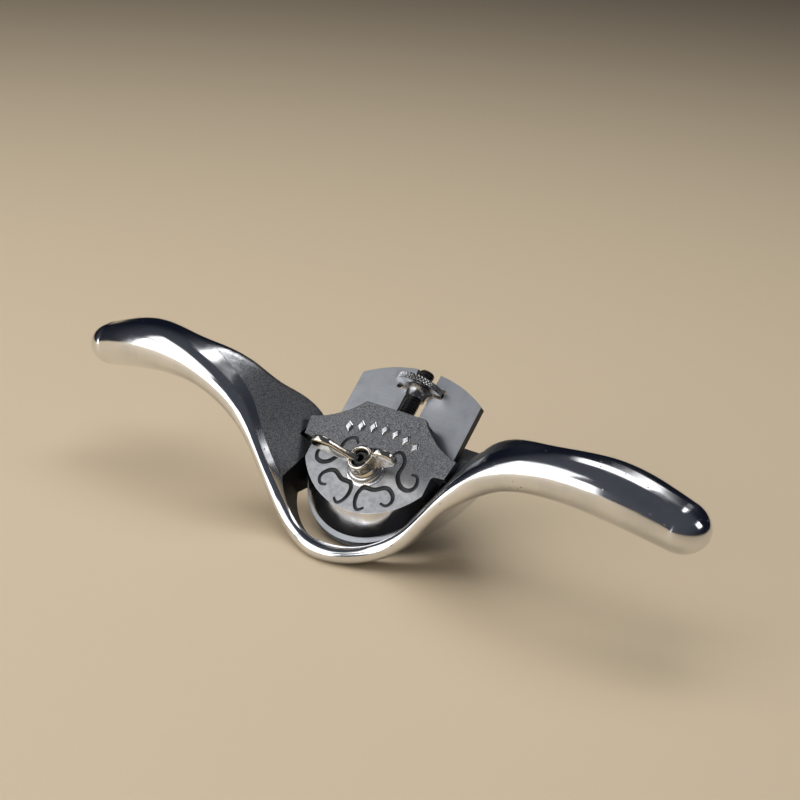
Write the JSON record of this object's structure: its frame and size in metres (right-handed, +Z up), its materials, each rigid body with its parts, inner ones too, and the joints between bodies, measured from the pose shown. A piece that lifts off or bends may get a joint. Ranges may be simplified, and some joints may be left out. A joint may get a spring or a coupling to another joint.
{
  "type": "spokeshave",
  "caption": "Round-soled metal spokeshave: polished casting with swept-up grips, round-ended blade, engraved cap iron held by a wing nut, and a screw depth adjuster.",
  "frame": {"origin": "lowest point of the cutting edge on the blade's front face, in the middle of the tool", "axes": "+X towards the user's right grip, +Y to the back of the tool, +Z up; the blade lies on a bed that rises at 45 degrees towards +Y"},
  "size_m": [0.2716, 0.0686, 0.061],
  "materials": {
    "cast_body": "mirror-polished edges and grips, blasted inside faces",
    "blade_steel": "surface-ground satin",
    "cast_cap": "cast skin above, ground face and polished bevel below",
    "nut_nickel": "worn warm nickel",
    "black_screw": "black oxide",
    "bright_steel": "turned and knurled"
  },
  "bodies": {
    "root": {"body_casting": "cast_body", "cap_stud": "black_screw", "adjuster_stud": "black_screw"},
    "blade": {"blade": "blade_steel"},
    "adjuster_wheel": {"adjuster_wheel": "bright_steel"},
    "cap_iron": {"cap_iron": "cast_cap"},
    "wing_nut": {"wing_nut": "nut_nickel"}
  },
  "joints": [
    {"name": "blade_feed", "type": "slide", "parent": "root", "child": "blade", "axis": [0, 0.7071, 0.7071], "range_m": [-0.005, 0.004]},
    {"name": "wheel_turn", "type": "hinge", "parent": "blade", "child": "adjuster_wheel", "pos_m": [0, 0.0454, 0.04667], "axis": [0, 0.7071, 0.7071], "range_deg": [-1801, 1441]},
    {"name": "cap_lift", "type": "slide", "parent": "root", "child": "cap_iron", "axis": [0, -0.7071, 0.7071], "range_m": [0, 0.002]},
    {"name": "wing_nut_turn", "type": "hinge", "parent": "cap_iron", "child": "wing_nut", "pos_m": [0, 0.01068, 0.02765], "axis": [0, -0.7071, 0.7071], "range_deg": [-0.1, 720.1]}
  ],
  "couplings": [
    {"joint": "wheel_turn", "follows": "blade_feed", "rad_per_m": 6283.2},
    {"joint": "wing_nut_turn", "follows": "cap_lift", "rad_per_m": 6283.2}
  ]
}
